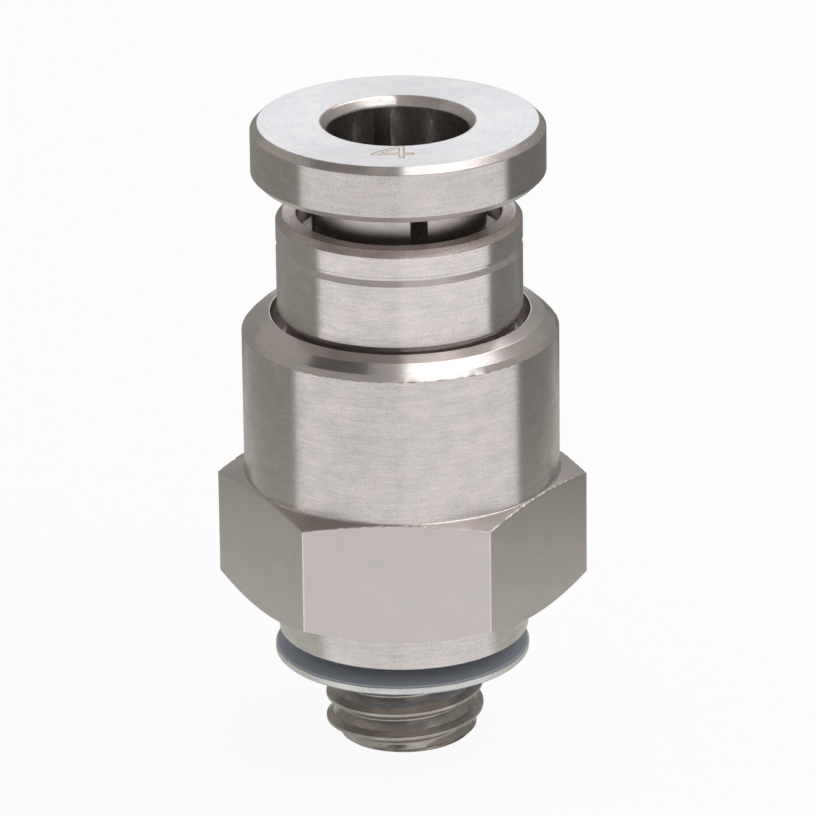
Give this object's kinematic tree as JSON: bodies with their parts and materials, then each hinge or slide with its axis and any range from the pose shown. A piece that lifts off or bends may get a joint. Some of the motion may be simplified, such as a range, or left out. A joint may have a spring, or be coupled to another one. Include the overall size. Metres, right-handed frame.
{
  "type": "push-in fitting",
  "caption": "Straight male push-in fitting for a 4 mm tube: slotted release ring, grooved guide ring, barrel with hexagon, M5 threaded stud and sealing washer.",
  "frame": {"origin": "on the axis, at the tip of the threaded stud", "axes": "+Z along the axis from the stud towards the release ring; two corners of the hexagon on X, two flats facing -Y and +Y"},
  "size_m": [0.0116, 0.01, 0.0203],
  "materials": {
    "turned_steel": "fine turned, satin",
    "guide_steel": "fine turned",
    "ring_steel": "fine turned",
    "spring_steel": "rolled sheet",
    "sleeve_rubber": "moulded",
    "gasket_steel": "sheared edge",
    "gasket_rubber": "thin satin coat"
  },
  "bodies": {
    "housing": {"body": "turned_steel", "guide_ring": "guide_steel", "lock_claws": "spring_steel", "elastic_sleeve": "sleeve_rubber", "gasket_plate": "gasket_steel", "gasket_coat_top": "gasket_rubber", "gasket_coat_bottom": "gasket_rubber"},
    "release": {"release_ring": "ring_steel"}
  },
  "joints": [
    {"name": "release_push", "type": "slide", "parent": "housing", "child": "release", "axis": [0, 0, -1], "range_m": [0, 0.0011], "stiffness_N_per_m": 2000, "deforming": ["lock_claws"]}
  ]
}
